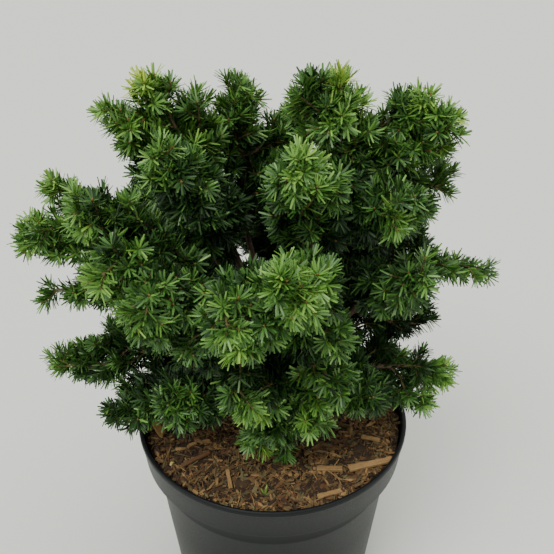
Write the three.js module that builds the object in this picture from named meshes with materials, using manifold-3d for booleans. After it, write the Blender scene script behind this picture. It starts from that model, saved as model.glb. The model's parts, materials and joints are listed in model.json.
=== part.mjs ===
// A dwarf conifer in a round nursery pot, in millimetres, +Z up.
// The origin is the centre of the pot's flat underside.
// The shrub has a short trunk, many tapering boughs and one uneven mass of foliage per spray.

import * as THREE from 'three';
import { mergeVertices } from 'three/addons/utils/BufferGeometryUtils.js';
import Module from 'manifold-3d';

const wasm = await Module();
wasm.setup();

// ---------------------------------------------------------------- driving dimensions

const GAP = 0.35;
const CUT_OVERRUN = 2;
const AXIS_SLACK = 0.01;

const POT = {
  height: 150,
  rimRadius: 95,
  rimBevel: 1,
  lipHeight: 3.5,
  lipWidth: 3,
  collarHeight: 25,
  collarFootRadius: 92,
  shoulderRadius: 85.4,
  footRadius: 73,
  wall: 1.6,
  floor: 2.5,
  segments: 24,
};

const DRAIN = { count: 6, radius: 4.5, ring: 52, sides: 6 };

const SOIL = {
  level: 140,
  flatRadius: 17,
  edgeRise: 3,
  unevenness: 1.4,
  rings: 3,
};

const TRUNK = {
  height: 46,
  flareRadius: 11.5,
  flareHeight: 9,
  ridges: 4,
  ridgeDepth: 0.16,
  waistRadius: 7.6,
  tipRadius: 4.6,
  lean: { heading: 20, reach: 5 },
  sides: 8,
  rings: 6,
};

const LIMB = { sides: 5, ringStep: 45, tipShare: 0.42 };

const SPRAY = {
  sides: 7,
  ringStep: 19.2,
  heelShare: 0.35,
  sag: 0.02,
  fullness: 0.72,
  heelGirth: 1.08,
  tipGirth: 0.86,
  broadKnob: 0.13,
  fineKnob: 0.10,
};

const COLOURS = {
  pot: 0x383c3b,
  mulch: 0x523e27,
  bark: 0x4a3222,
  foliage: 0x2c4a22,
};

// Boughs, each from a point on the trunk or on an earlier bough.
// from: parent bough, at: share along it, heading: degrees about +Z from +X,
// reach: run out from the pot's axis, rise: tip above the soil, arch: bow, base: radius.
const BOUGHS = {
  crown_left: { at: 0.80, heading: 160, reach: 55, rise: 190, arch: 0.15, base: 3.6 },
  crown_right: { at: 0.94, heading: 2, reach: 52, rise: 200, arch: 0.12, base: 3.8 },
  crown_back: { at: 0.86, heading: 124, reach: 52, rise: 182, arch: 0.10, base: 3.2 },
  front_middle: { at: 0.66, heading: 252, reach: 58, rise: 148, arch: -0.10, base: 3.0 },
  arm_right: { at: 0.60, heading: 356, reach: 78, rise: 142, arch: -0.10, base: 3.2 },
  arm_left: { at: 0.52, heading: 176, reach: 80, rise: 148, arch: -0.12, base: 3.2 },
  back_middle: { at: 0.50, heading: 86, reach: 78, rise: 122, arch: -0.08, base: 3.0 },
  foot_front: { at: 0.32, heading: 280, reach: 36, rise: 70, arch: -0.10, base: 2.6 },
  shoulder_right: {
    from: 'crown_right', at: 0.20,
    heading: 6, reach: 72, rise: 190, arch: -0.02, base: 2.6,
  },
  front_right: {
    from: 'front_middle', at: 0.22,
    heading: 297, reach: 54, rise: 145, arch: -0.10, base: 2.4,
  },
  front_left: {
    from: 'crown_left', at: 0.16,
    heading: 212, reach: 61, rise: 142, arch: -0.12, base: 2.6,
  },
  back_left: {
    from: 'crown_back', at: 0.16,
    heading: 132, reach: 80, rise: 128, arch: -0.10, base: 2.5,
  },
  back_right: {
    from: 'back_middle', at: 0.20,
    heading: 47, reach: 82, rise: 124, arch: -0.10, base: 2.5,
  },
  low_right: {
    from: 'arm_right', at: 0.14,
    heading: 351, reach: 52, rise: 60, arch: -0.12, base: 2.4,
  },
  low_left: {
    from: 'arm_left', at: 0.14,
    heading: 174, reach: 72, rise: 62, arch: -0.12, base: 2.6,
  },
  foot_left: {
    from: 'foot_front', at: 0.24,
    heading: 212, reach: 49, rise: 58, arch: -0.08, base: 2.2,
  },
};

// Foliage masses. Each lists its sprays as [share along the bough, heading, climb, length, girth].
const FOLIAGE = {
  leader_left: { bough: 'crown_left', sprays: [[0.98, 190, 70, 70, 12], [0.98, 201, 60, 62, 10]] },
  horn_left: { bough: 'crown_left', sprays: [[0.80, 190, 50, 92, 15], [0.60, 187, 50, 98, 14]] },
  shoulder_left: { bough: 'crown_left', sprays: [[0.92, 95, 80, 58, 18]] },
  crest_back: { bough: 'crown_back', sprays: [[0.94, 45, 80, 66, 15]] },
  crown_tip: {
    bough: 'crown_right',
    sprays: [
      [0.95, 195, 60, 70, 17],
      [0.96, 170, 75, 62, 16],
      [0.90, 60, 70, 44, 14],
    ],
  },
  horn_right: {
    bough: 'shoulder_right',
    sprays: [
      [0.97, 335, 75, 58, 17],
      [1.00, 345, 50, 58, 16],
    ],
  },
  finger_right: {
    bough: 'shoulder_right',
    sprays: [
      [0.80, 15, 15, 66, 12],
      [0.70, 5, 10, 56, 12],
    ],
  },
  reach_right: { bough: 'arm_right', sprays: [[0.97, 20, -20, 84, 9], [0.90, 25, 20, 40, 11]] },
  ledge_right: { bough: 'arm_right', sprays: [[0.75, 300, 38, 68, 18]] },
  spur_right: { bough: 'arm_right', sprays: [[0.52, 5, 5, 68, 13], [0.50, 40, 45, 58, 16]] },
  low_tip_right: { bough: 'low_right', sprays: [[0.90, 350, 0, 80, 12], [0.85, 340, -15, 66, 13]] },
  skirt_right: { bough: 'low_right', sprays: [[0.65, 300, 5, 58, 19], [0.80, 0, 20, 50, 16]] },
  reach_left: { bough: 'arm_left', sprays: [[0.97, 200, 15, 80, 16], [0.90, 170, 33, 84, 15]] },
  spur_left: { bough: 'arm_left', sprays: [[0.72, 190, 3, 90, 11]] },
  low_tip_left: { bough: 'low_left', sprays: [[0.97, 180, -10, 92, 15]] },
  low_fan_left: { bough: 'low_left', sprays: [[0.80, 165, 5, 68, 17]] },
  skirt_left: { bough: 'foot_left', sprays: [[0.92, 190, -15, 80, 13], [0.92, 170, -15, 72, 12]] },
  foot_fan_left: { bough: 'foot_left', sprays: [[0.85, 230, 10, 50, 19]] },
  ledge_left: { bough: 'front_left', sprays: [[0.95, 190, 45, 84, 19]] },
  fan_left: { bough: 'front_left', sprays: [[0.97, 220, 25, 68, 20]] },
  fan_front_left: { bough: 'front_left', sprays: [[0.84, 250, 20, 76, 21]] },
  bay_left: { bough: 'front_left', sprays: [[0.55, 260, 15, 72, 20]] },
  front_star: { bough: 'front_middle', sprays: [[0.95, 270, 10, 64, 20], [0.94, 285, 20, 66, 18]] },
  front_fan: { bough: 'front_right', sprays: [[0.95, 255, 30, 78, 19]] },
  front_bay: { bough: 'front_right', sprays: [[0.62, 290, 30, 58, 21]] },
  brow_right: { bough: 'crown_right', sprays: [[0.72, 320, 25, 68, 19]] },
  breast_right: {
    bough: 'crown_right',
    sprays: [
      [0.58, 257, 55, 98, 23],
      [0.68, 290, 70, 64, 19],
    ],
  },
  brow_left: { bough: 'crown_left', sprays: [[0.68, 230, 55, 88, 20], [0.62, 228, 58, 66, 17]] },
  foot_star: {
    bough: 'foot_front',
    sprays: [
      [0.92, 255, -30, 44, 18],
      [0.88, 300, -15, 48, 17],
      [0.80, 235, -45, 56, 10],
      [0.80, 280, -55, 52, 10],
    ],
  },
  apron: { bough: 'foot_front', sprays: [[0.95, 240, 25, 64, 22]] },
  apron_right: { bough: 'foot_front', sprays: [[0.90, 310, 30, 64, 20]] },
  hump_back: { bough: 'crown_back', sprays: [[0.78, 50, 38, 84, 23]] },
};

// The far side of the crown: fans of broad sprays, one fan for each back bough.
const BACK_FANS = {
  back_left: { headings: [165, 118, 115], climbs: [24, 54, -14] },
  back_middle: { headings: [106, 82, 92], climbs: [2, 54, -2] },
  back_right: { headings: [12, 60, 48], climbs: [24, 54, -2] },
};
const BACK_SPRAY = { ats: [0.88, 0.98, 0.42], lengths: [66, 66, 74], girths: [25, 24, 21] };

// ---------------------------------------------------------------- solids

/** A closed three.js geometry as a manifold solid. */
function solidOf(geometry) {
  const bare = geometry.clone();
  bare.deleteAttribute('normal');
  bare.deleteAttribute('uv');
  const merged = mergeVertices(bare, 1e-4);
  return new wasm.Manifold(new wasm.Mesh({
    numProp: 3,
    vertProperties: new Float32Array(merged.attributes.position.array),
    triVerts: new Uint32Array(merged.index.array),
  }));
}

/** The largest single body of a solid, as a three.js geometry. */
function geometryOf(solid) {
  const bodies = solid.decompose();
  bodies.sort((a, b) => b.volume() - a.volume());
  const mesh = bodies[0].getMesh();
  const geometry = new THREE.BufferGeometry();
  geometry.setAttribute('position', new THREE.BufferAttribute(mesh.vertProperties, 3));
  geometry.setIndex(new THREE.BufferAttribute(mesh.triVerts, 1));
  geometry.computeVertexNormals();
  return geometry;
}

/** One named mesh in a plain material. */
function meshOf(name, geometry, colour, roughness) {
  const material = new THREE.MeshStandardMaterial({ color: colour, roughness, metalness: 0 });
  const mesh = new THREE.Mesh(geometry, material);
  mesh.name = name;
  return mesh;
}

/** Unit vector for a heading about +Z and a climb above the level, both in degrees. */
function direction(heading, climb) {
  const h = THREE.MathUtils.degToRad(heading);
  const c = THREE.MathUtils.degToRad(climb);
  return new THREE.Vector3(Math.cos(h) * Math.cos(c), Math.sin(h) * Math.cos(c), Math.sin(c));
}

/** The level vector at right angles to a heading. */
function sideways(heading) {
  return direction(heading + 90, 0);
}

/** Moves every point of a geometry through a function of its place. */
function reshape(geometry, place) {
  const points = geometry.attributes.position;
  const point = new THREE.Vector3();
  for (let i = 0; i < points.count; i += 1) {
    point.fromBufferAttribute(points, i);
    const moved = place(point);
    points.setXYZ(i, moved.x, moved.y, moved.z);
  }
  return geometry;
}

/** A form of unit height on the Y axis, bent round a curve that lies in an upright plane. */
function bentSolid(form, curve, side, radiusAt, grow) {
  return solidOf(reshape(form, (point) => {
    const t = point.y + 0.5;
    const spread = Math.hypot(point.x, point.z);
    const angle = Math.atan2(point.z, point.x);
    const along = curve.getTangent(t);
    const across = new THREE.Vector3().crossVectors(side, along).normalize();
    const radius = spread > AXIS_SLACK ? radiusAt(t, angle, spread) + grow : 0;
    return curve.getPoint(t)
      .addScaledVector(along, grow * (2 * t - 1))
      .addScaledVector(side, radius * Math.cos(angle))
      .addScaledVector(across, radius * Math.sin(angle));
  }));
}

// ---------------------------------------------------------------- pot and soil

/** Inner radius of the pot at a height. */
function potInside(z) {
  const foot = POT.footRadius - POT.wall;
  const shoulder = POT.shoulderRadius - POT.wall;
  const slope = (shoulder - foot) / (POT.height - POT.collarHeight);
  return foot + slope * z;
}

/** Pot wall, collar and lip as one turned shell, with drain holes through the floor. */
function potSolid() {
  const top = POT.height;
  const collarFoot = POT.height - POT.collarHeight;
  const collarTop = POT.rimRadius - POT.rimBevel;
  const lipInside = POT.rimRadius - POT.lipWidth;
  const profile = [
    [0, 0],
    [POT.footRadius, 0],
    [POT.shoulderRadius, collarFoot],
    [POT.collarFootRadius, collarFoot],
    [collarTop, top - POT.lipHeight],
    [POT.rimRadius, top - POT.lipHeight],
    [POT.rimRadius, top - POT.rimBevel],
    [POT.rimRadius - POT.rimBevel, top],
    [lipInside, top],
    [POT.collarFootRadius - POT.wall, collarFoot + POT.wall],
    [potInside(collarFoot), collarFoot + POT.wall],
    [potInside(POT.floor), POT.floor],
    [0, POT.floor],
  ];
  const outline = profile.map(([radius, z]) => new THREE.Vector2(radius, z));
  const turned = new THREE.LatheGeometry(outline, POT.segments);
  turned.rotateX(Math.PI / 2);
  let shell = solidOf(turned);
  for (let i = 0; i < DRAIN.count; i += 1) {
    const angle = (i + 0.5) * 2 * Math.PI / DRAIN.count;
    const depth = POT.floor + 2 * CUT_OVERRUN;
    const drill = new THREE.CylinderGeometry(DRAIN.radius, DRAIN.radius, depth, DRAIN.sides);
    drill.rotateX(Math.PI / 2);
    drill.translate(DRAIN.ring * Math.cos(angle), DRAIN.ring * Math.sin(angle), POT.floor / 2);
    shell = shell.subtract(solidOf(drill));
  }
  return shell;
}

/** Soil and bark mulch that fill the pot, flat round the trunk and uneven beyond. */
function soilSolid() {
  const collarFoot = POT.height - POT.collarHeight;
  const neck = collarFoot + POT.wall + GAP;
  const lipInside = POT.rimRadius - POT.lipWidth;
  const collarInside = POT.collarFootRadius - POT.wall;
  const edgeZ = SOIL.level + SOIL.edgeRise;
  const edgeShare = (edgeZ - neck) / (POT.height - neck);
  const edgeRadius = collarInside + (lipInside - collarInside) * edgeShare - GAP;
  const outline = [
    new THREE.Vector2(0, POT.floor + GAP),
    new THREE.Vector2(potInside(POT.floor) - GAP, POT.floor + GAP),
    new THREE.Vector2(potInside(neck) - GAP, neck),
    new THREE.Vector2(collarInside - GAP, neck),
    new THREE.Vector2(edgeRadius, edgeZ),
  ];
  for (let ring = SOIL.rings - 1; ring >= 0; ring -= 1) {
    const share = ring / SOIL.rings;
    const radius = SOIL.flatRadius + (edgeRadius - SOIL.flatRadius) * share;
    outline.push(new THREE.Vector2(radius, SOIL.level + SOIL.edgeRise * share * share));
  }
  outline.push(new THREE.Vector2(0, SOIL.level));
  const turned = new THREE.LatheGeometry(outline, POT.segments);
  turned.rotateX(Math.PI / 2);
  reshape(turned, (point) => {
    const radius = Math.hypot(point.x, point.y);
    const onTop = point.z > SOIL.level - 1 && radius > SOIL.flatRadius + 1 && radius < edgeRadius - 1;
    const humps = Math.sin(0.11 * point.x + 1) * Math.cos(0.09 * point.y);
    const ripples = Math.sin(0.23 * point.y + 2) / 2;
    const lift = onTop ? SOIL.unevenness * (humps + ripples) : 0;
    return new THREE.Vector3(point.x, point.y, point.z + lift);
  });
  return solidOf(turned);
}

// ---------------------------------------------------------------- trunk and boughs

/** Curve of the trunk from the soil to its fork. */
function trunkCurve() {
  const foot = new THREE.Vector3(0, 0, SOIL.level + GAP);
  const tip = direction(TRUNK.lean.heading, 0).multiplyScalar(TRUNK.lean.reach);
  tip.z = SOIL.level + TRUNK.height;
  const middle = new THREE.Vector3(0, 0, (foot.z + tip.z) / 2);
  return new THREE.QuadraticBezierCurve3(foot, middle, tip);
}

/** Trunk with its root flare, cut flat at the soil. */
function trunkSolid(grow = 0) {
  const radiusAt = (t, angle) => {
    const flare = Math.max(0, 1 - t * TRUNK.height / TRUNK.flareHeight);
    const ridges = 1 + TRUNK.ridgeDepth * flare * Math.cos(TRUNK.ridges * angle);
    const plain = TRUNK.waistRadius + (TRUNK.tipRadius - TRUNK.waistRadius) * t;
    return (plain + (TRUNK.flareRadius - TRUNK.waistRadius) * flare * flare) * ridges;
  };
  const rod = new THREE.CylinderGeometry(1, 1, 1, TRUNK.sides, TRUNK.rings);
  return bentSolid(rod, trunkCurve(), sideways(TRUNK.lean.heading), radiusAt, grow);
}

/** Curve of one bough, bowed between its parent and its tip. */
function boughCurve(bough, foot) {
  const tip = direction(bough.heading, 0).multiplyScalar(bough.reach);
  tip.z = SOIL.level + bough.rise;
  const run = tip.clone().sub(foot);
  const outward = new THREE.Vector3(run.x, run.y, 0).normalize();
  const bow = run.length() * bough.arch / 2;
  const middle = foot.clone().add(tip).multiplyScalar(0.5);
  middle.z += bow;
  middle.addScaledVector(outward, -bow);
  return new THREE.QuadraticBezierCurve3(foot, middle, tip);
}

/** Tapering solid of one bough. */
function boughSolid(bough, curve, grow = 0) {
  const run = curve.v2.clone().sub(curve.v0);
  const side = sideways(THREE.MathUtils.radToDeg(Math.atan2(run.y, run.x)));
  const radiusAt = (t) => bough.base * (1 - (1 - LIMB.tipShare) * t);
  const rings = Math.max(2, Math.round(run.length() / LIMB.ringStep));
  const rod = new THREE.CylinderGeometry(1, 1, 1, LIMB.sides, rings);
  return bentSolid(rod, curve, side, radiusAt, grow);
}

// ---------------------------------------------------------------- foliage

/** One uneven spray of needles: a full, blunt form round a curved spine. */
function spraySolid(heel, spray, seed, grow = 0) {
  const [, heading, climb, length, girth] = spray;
  const forward = direction(heading, climb);
  const start = heel.clone().addScaledVector(forward, -girth * SPRAY.heelShare);
  const tip = heel.clone().addScaledVector(forward, length);
  const middle = start.clone().add(tip).multiplyScalar(0.5);
  middle.z -= length * SPRAY.sag;
  const spine = new THREE.QuadraticBezierCurve3(start, middle, tip);
  const radiusAt = (t, angle, spread) => {
    const broad = SPRAY.broadKnob * Math.sin(2 * angle + 7 * t + seed);
    const fine = SPRAY.fineKnob * Math.sin(3 * angle - 11 * t + 2 * seed);
    const taper = SPRAY.heelGirth + (SPRAY.tipGirth - SPRAY.heelGirth) * t;
    return girth * taper * (1 + broad + fine) * (2 * spread) ** SPRAY.fullness;
  };
  const rings = Math.round((length + girth) / SPRAY.ringStep);
  const ball = new THREE.SphereGeometry(0.5, SPRAY.sides, rings);
  return bentSolid(ball, spine, sideways(heading), radiusAt, grow);
}

/** A mass: the sprays of one bough joined into one body. */
function massSolid(mass, curve, seed, grow = 0) {
  let solid = null;
  mass.sprays.forEach((spray, index) => {
    const part = spraySolid(curve.getPoint(spray[0]), spray, seed + 1.7 * index, grow);
    solid = solid ? solid.add(part) : part;
  });
  return solid;
}

/** The masses of the far side, worked out fan by fan. */
function backMasses() {
  const masses = {};
  for (const [bough, fan] of Object.entries(BACK_FANS)) {
    fan.headings.forEach((heading, index) => {
      const { ats, lengths, girths } = BACK_SPRAY;
      const spray = [ats[index], heading, fan.climbs[index], lengths[index], girths[index]];
      masses[`${bough}_fan_${index + 1}`] = { bough, sprays: [spray] };
    });
  }
  return masses;
}

// ---------------------------------------------------------------- assembly

const plant = new THREE.Group();
plant.add(meshOf('pot', geometryOf(potSolid()), COLOURS.pot, 0.45));
plant.add(meshOf('mulch', geometryOf(soilSolid()), COLOURS.mulch, 0.95));
plant.add(meshOf('trunk', geometryOf(trunkSolid()), COLOURS.bark, 0.9));

let taken = trunkSolid(GAP);
const curves = {};
for (const [name, bough] of Object.entries(BOUGHS)) {
  const parent = bough.from ? curves[bough.from] : trunkCurve();
  curves[name] = boughCurve(bough, parent.getPoint(bough.at));
  const solid = boughSolid(bough, curves[name]).subtract(taken);
  plant.add(meshOf(`bough_${name}`, geometryOf(solid), COLOURS.bark, 0.9));
  taken = taken.add(boughSolid(bough, curves[name], GAP));
}

let seed = 1;
for (const [name, mass] of Object.entries({ ...FOLIAGE, ...backMasses() })) {
  const curve = curves[mass.bough];
  const solid = massSolid(mass, curve, seed).subtract(taken);
  plant.add(meshOf(`foliage_${name}`, geometryOf(solid), COLOURS.foliage, 0.7));
  taken = taken.add(massSolid(mass, curve, seed, GAP));
  seed += 1;
}

export default plant;
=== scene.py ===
"""Looks of a potted dwarf conifer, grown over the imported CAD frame.

Lengths are metres, +Z is up, and the pot stands on z = 0. Limbs are traced from the frame, and a seeded
branching rule grows twigs and needles out from them to fill the frame's foliage masses.
"""

import json
import logging
import math
from dataclasses import dataclass, field
from enum import Enum
from itertools import product

import bpy
import numpy as np
from mathutils import Matrix, Vector
from mathutils.bvhtree import BVHTree
from mathutils.kdtree import KDTree

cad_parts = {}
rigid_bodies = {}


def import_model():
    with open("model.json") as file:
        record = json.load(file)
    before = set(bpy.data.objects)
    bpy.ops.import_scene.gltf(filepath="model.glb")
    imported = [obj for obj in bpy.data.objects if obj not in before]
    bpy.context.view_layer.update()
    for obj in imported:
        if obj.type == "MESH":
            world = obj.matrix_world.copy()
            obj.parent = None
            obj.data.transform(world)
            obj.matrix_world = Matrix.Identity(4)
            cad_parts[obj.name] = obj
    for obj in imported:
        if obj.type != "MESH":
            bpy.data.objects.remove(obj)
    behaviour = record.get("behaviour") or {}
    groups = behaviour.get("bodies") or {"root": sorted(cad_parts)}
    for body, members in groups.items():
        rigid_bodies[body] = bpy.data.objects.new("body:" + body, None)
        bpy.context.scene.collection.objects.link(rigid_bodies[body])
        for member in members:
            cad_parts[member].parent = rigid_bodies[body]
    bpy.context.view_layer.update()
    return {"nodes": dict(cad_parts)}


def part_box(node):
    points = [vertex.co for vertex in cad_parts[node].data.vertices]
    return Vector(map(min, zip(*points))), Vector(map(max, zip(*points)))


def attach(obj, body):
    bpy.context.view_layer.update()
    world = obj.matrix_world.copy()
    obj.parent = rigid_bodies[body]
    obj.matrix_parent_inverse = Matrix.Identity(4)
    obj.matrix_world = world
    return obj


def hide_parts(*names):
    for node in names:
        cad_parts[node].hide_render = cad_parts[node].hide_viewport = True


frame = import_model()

LOG = logging.getLogger("conifer")
MM = 0.001
GOLDEN = math.pi * (3 - math.sqrt(5))
UP = np.array([0.0, 0.0, 1.0])
BODY = "root"
Rgb = tuple[int, int, int]
Cell = tuple[int, int, int]
Pair = tuple[float, float]
Arrays = tuple[np.ndarray, np.ndarray]
LIMB_NODES = [n for n in frame["nodes"] if n == "trunk" or n.startswith("bough_")]
FOLIAGE_NODES = [n for n in frame["nodes"] if n.startswith("foliage_")]


# ---------------------------------------------------------------- small tools


def linear(rgb: Rgb) -> tuple[float, float, float, float]:
    """Scene-linear colour, with full alpha, of an 8-bit display colour."""
    out = []
    for part in rgb:
        c = part / 255
        out.append(c / 12.92 if c <= 0.04045 else ((c + 0.055) / 1.055) ** 2.4)
    return (*out, 1.0)


def unit(v: np.ndarray) -> np.ndarray:
    """Rows of v, or v itself, brought to length one."""
    return v / np.maximum(np.linalg.norm(v, axis=-1, keepdims=True), 1e-12)


def deselect() -> None:
    """Leaves nothing selected, in Object mode."""
    if bpy.context.object and bpy.context.object.mode != "OBJECT":
        bpy.ops.object.mode_set(mode="OBJECT")
    bpy.ops.object.select_all(action="DESELECT")


def only(piece: bpy.types.Object) -> None:
    """Makes one piece the sole selected and active object."""
    deselect()
    piece.select_set(True)
    bpy.context.view_layer.objects.active = piece


def join(pieces: list[bpy.types.Object], name: str) -> bpy.types.Object:
    """Joins pieces into the first of them.

    Args:
        pieces: the objects to join, all at the origin.
        name: what the joined object is called.

    Returns:
        The joined object.
    """
    only(pieces[0])
    for piece in pieces:
        piece.select_set(True)
    if len(pieces) > 1:
        bpy.ops.object.join()
    pieces[0].name = name
    pieces[0].data.name = name
    return pieces[0]


def settle(piece: bpy.types.Object) -> None:
    """Moves a piece's place, turn and scale into its mesh."""
    only(piece)
    bpy.ops.object.transform_apply(location=True, rotation=True, scale=True)


def apply_modifier(piece: bpy.types.Object, kind: str, **settings: object) -> None:
    """Adds a modifier to a piece, sets it up and applies it.

    Args:
        piece: the object that is changed.
        kind: Blender's name for the modifier type.
        settings: the modifier's properties.
    """
    only(piece)
    modifier = piece.modifiers.new(kind.title(), kind)
    for key, value in settings.items():
        setattr(modifier, key, value)
    bpy.ops.object.modifier_apply(modifier=modifier.name)


def displace(piece: bpy.types.Object, name: str, lump: float, strength: float, **more: object) -> None:
    """Raises cloudy relief on a piece.

    Args:
        piece: the object that is changed.
        name: the texture's name.
        lump: size of the lumps in metres.
        strength: height of the relief in metres.
        more: further properties of the modifier.
    """
    texture = bpy.data.textures.new(name, "CLOUDS")
    texture.noise_scale = lump
    texture.noise_depth = 2
    apply_modifier(
        piece, "DISPLACE", texture=texture, texture_coords="LOCAL", strength=strength,
        mid_level=0.5, **more,
    )


def smooth(piece: bpy.types.Object) -> None:
    """Shades a piece smooth."""
    only(piece)
    bpy.ops.object.shade_smooth()


def mesh_piece(
    name: str, points: np.ndarray, faces: np.ndarray, flat: bool = False
) -> bpy.types.Object:
    """One object from joined arrays.

    Args:
        name: the object's name.
        points: n by 3 places in metres.
        faces: m by 3 or m by 4 corner numbers.
        flat: whether faces are shaded flat.

    Returns:
        The new object, at the origin.
    """
    corners = faces.shape[1]
    mesh = bpy.data.meshes.new(name)
    mesh.vertices.add(len(points))
    mesh.vertices.foreach_set("co", points.astype(np.float32).ravel())
    mesh.loops.add(faces.size)
    mesh.loops.foreach_set("vertex_index", faces.astype(np.int32).ravel())
    mesh.polygons.add(len(faces))
    mesh.polygons.foreach_set("loop_start", np.arange(0, faces.size, corners, dtype=np.int32))
    mesh.polygons.foreach_set("use_smooth", np.full(len(faces), not flat))
    mesh.update(calc_edges=True)
    mesh.validate()
    piece = bpy.data.objects.new(name, mesh)
    bpy.context.scene.collection.objects.link(piece)
    return piece


def hand_over(piece: bpy.types.Object, slot: str, nodes: list[str], made: "Finish") -> None:
    """Dresses a piece, ties it to the body and hides the nodes that it replaces.

    Args:
        piece: the finished mesh.
        slot: the record's material slot.
        nodes: the CAD nodes that it replaces.
        made: the finish it wears.
    """
    piece.data.materials.clear()
    piece.data.materials.append(made.material())
    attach(piece, BODY)
    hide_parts(*nodes)
    triangles = sum(len(p.vertices) - 2 for p in piece.data.polygons)
    LOG.info("%s: %d triangles, slot %s", piece.name, triangles, slot)


def ring_quads(rings: int, sides: int) -> np.ndarray:
    """Quads that join rings of points, laid ring after ring, into a tube."""
    k, j = np.meshgrid(np.arange(rings - 1), np.arange(sides), indexing="ij")
    a, b = (k * sides + j).ravel(), (k * sides + (j + 1) % sides).ravel()
    return np.stack([a, b, b + sides, a + sides], 1)


def repeated(faces: np.ndarray, count: int, corners: int) -> np.ndarray:
    """The faces of many like shapes, each with its own run of corners."""
    return (faces[None] + (np.arange(count) * corners)[:, None, None]).reshape(-1, faces.shape[1])


def around(across: np.ndarray, over: np.ndarray, angle: float) -> np.ndarray:
    """The direction at an angle between two that are square to each other."""
    return across * math.cos(angle) + over * math.sin(angle)


def hermite(t: float | np.ndarray) -> tuple[float | np.ndarray, ...]:
    """Weights of a cubic's first place and slope and of its last place and slope."""
    return 2 * t**3 - 3 * t**2 + 1, t**3 - 2 * t**2 + t, 3 * t**2 - 2 * t**3, t**3 - t**2


# ---------------------------------------------------------------- finishes


@dataclass(frozen=True)
class Finish:
    """A procedural finish: two tones mixed by noise, with fine bump and uneven gloss."""

    name: str
    base: Rgb
    second: Rgb
    patch: float = 0.02
    grain: float = 0.002
    mix: float = 0.5
    roughness: float = 0.6
    roughness_spread: float = 0.1
    bump: float = 0.0
    stretch: tuple[float, float, float] = (1.0, 1.0, 1.0)
    specular: float = 0.5

    def material(self) -> bpy.types.Material:
        """The Blender material, made once for each name."""
        known = bpy.data.materials.get(self.name)
        return known if known else self._build()

    def _noise(
        self, tree: bpy.types.NodeTree, source: bpy.types.NodeSocket, size: float, detail: float
    ) -> bpy.types.NodeSocket:
        """Noise of a given lump size over the stretched object coordinates."""
        noise = tree.nodes.new("ShaderNodeTexNoise")
        noise.inputs["Scale"].default_value = 1 / size
        noise.inputs["Detail"].default_value = detail
        tree.links.new(source, noise.inputs["Vector"])
        return noise.outputs["Fac"]

    def _range(
        self, tree: bpy.types.NodeTree, value: bpy.types.NodeSocket, span: Pair, middle: float, half: float
    ) -> bpy.types.NodeSocket:
        """A span of noise spread evenly from middle - half to middle + half."""
        node = tree.nodes.new("ShaderNodeMapRange")
        ends = (*span, middle - half, middle + half)
        for socket, end in zip(("From Min", "From Max", "To Min", "To Max"), ends):
            node.inputs[socket].default_value = end
        tree.links.new(value, node.inputs["Value"])
        return node.outputs["Result"]

    def _build(self) -> bpy.types.Material:
        """Builds the node tree."""
        material = bpy.data.materials.new(self.name)
        material.use_nodes = True
        tree = material.node_tree
        shader = tree.nodes["Principled BSDF"]
        place = tree.nodes.new("ShaderNodeTexCoord")
        mapping = tree.nodes.new("ShaderNodeMapping")
        mapping.inputs["Scale"].default_value = self.stretch
        tree.links.new(place.outputs["Object"], mapping.inputs["Vector"])
        broad = self._noise(tree, mapping.outputs["Vector"], self.patch, 3)
        fine = self._noise(tree, mapping.outputs["Vector"], self.grain, 4)
        both = tree.nodes.new("ShaderNodeMath")
        both.operation = "ADD"
        tree.links.new(broad, both.inputs[0])
        tree.links.new(fine, both.inputs[1])
        spread = self._range(tree, both.outputs[0], (0.75, 1.25), 0.5, self.mix)
        tones = tree.nodes.new("ShaderNodeMix")
        tones.data_type = "RGBA"
        tones.inputs["A"].default_value = linear(self.base)
        tones.inputs["B"].default_value = linear(self.second)
        tree.links.new(spread, tones.inputs["Factor"])
        tree.links.new(tones.outputs["Result"], shader.inputs["Base Color"])
        gloss = self._range(tree, fine, (0.3, 0.7), self.roughness, self.roughness_spread)
        tree.links.new(gloss, shader.inputs["Roughness"])
        shader.inputs["Specular IOR Level"].default_value = self.specular
        if self.bump > 0:
            relief = tree.nodes.new("ShaderNodeBump")
            relief.inputs["Strength"].default_value = 0.6
            relief.inputs["Distance"].default_value = self.bump
            tree.links.new(fine, relief.inputs["Height"])
            tree.links.new(relief.outputs["Normal"], shader.inputs["Normal"])
        return material


def needle(name: str, base: Rgb, second: Rgb, roughness: float, specular: float) -> Finish:
    """One colour of needles."""
    return Finish(f"needle_{name}", base, second, 0.03, 0.004, roughness=roughness, specular=specular)


class Tint(Enum):
    """Plain base colours dealt out to the needles: lit and shaded copies of one needle green, running from
    painted shade at the crown's heart out to painted light at its outline and top, with fresher tips and
    random tone on top of that.
    """

    # SHADE and DEEP stand for painted shade inside the crown and get less gloss; the lighter tints carry
    # painted light as well as the real lighter green of young tips.
    SHADE = needle("shade", (16, 32, 14), (24, 44, 19), 0.6, 0.2)
    DEEP = needle("deep", (36, 64, 26), (48, 82, 34), 0.5, 0.3)
    MID = needle("mid", (62, 102, 38), (80, 122, 50), 0.42, 0.45)
    FRESH = needle("fresh", (94, 140, 52), (116, 160, 66), 0.4, 0.5)
    BRIGHT = needle("bright", (128, 172, 66), (148, 186, 82), 0.4, 0.5)
    LIME = needle("lime", (168, 188, 60), (188, 204, 78), 0.42, 0.5)


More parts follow.
